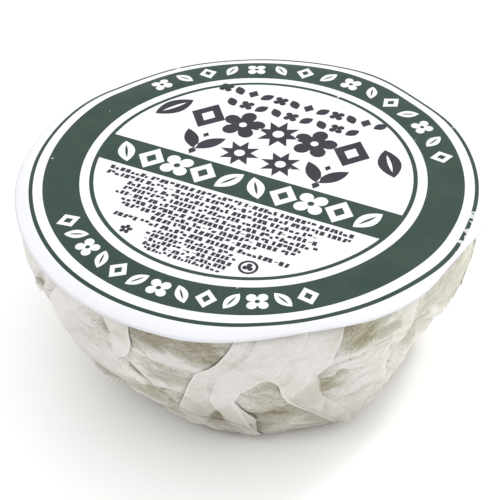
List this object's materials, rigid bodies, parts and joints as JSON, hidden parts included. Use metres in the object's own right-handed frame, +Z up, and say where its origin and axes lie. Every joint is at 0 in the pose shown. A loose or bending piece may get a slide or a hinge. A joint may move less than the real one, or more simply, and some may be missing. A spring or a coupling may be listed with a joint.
{
  "type": "wrapped shaving soap puck",
  "caption": "Bowl-shaped shaving soap puck wrapped in pleated greaseproof paper and closed by a round adhesive label on top.",
  "frame": {"origin": "centre of the label's outline, brought down to the surface that the puck stands on", "axes": "+Z up through the label; -Y towards the viewer who reads the label turned a little clockwise"},
  "size_m": [0.0648, 0.0648, 0.0283],
  "materials": {
    "soap": "waxy, softly satin, pale green-cream with fine specks",
    "greaseproof_paper": "thin translucent creased paper, soft satin, darker where it clings to the soap",
    "printed_paper": "smooth coated white paper with dark green and slate ink, satin"
  },
  "bodies": {
    "root": {"soap_cake": "soap", "greaseproof_wrap": "greaseproof_paper", "top_label": "printed_paper"}
  },
  "joints": []
}
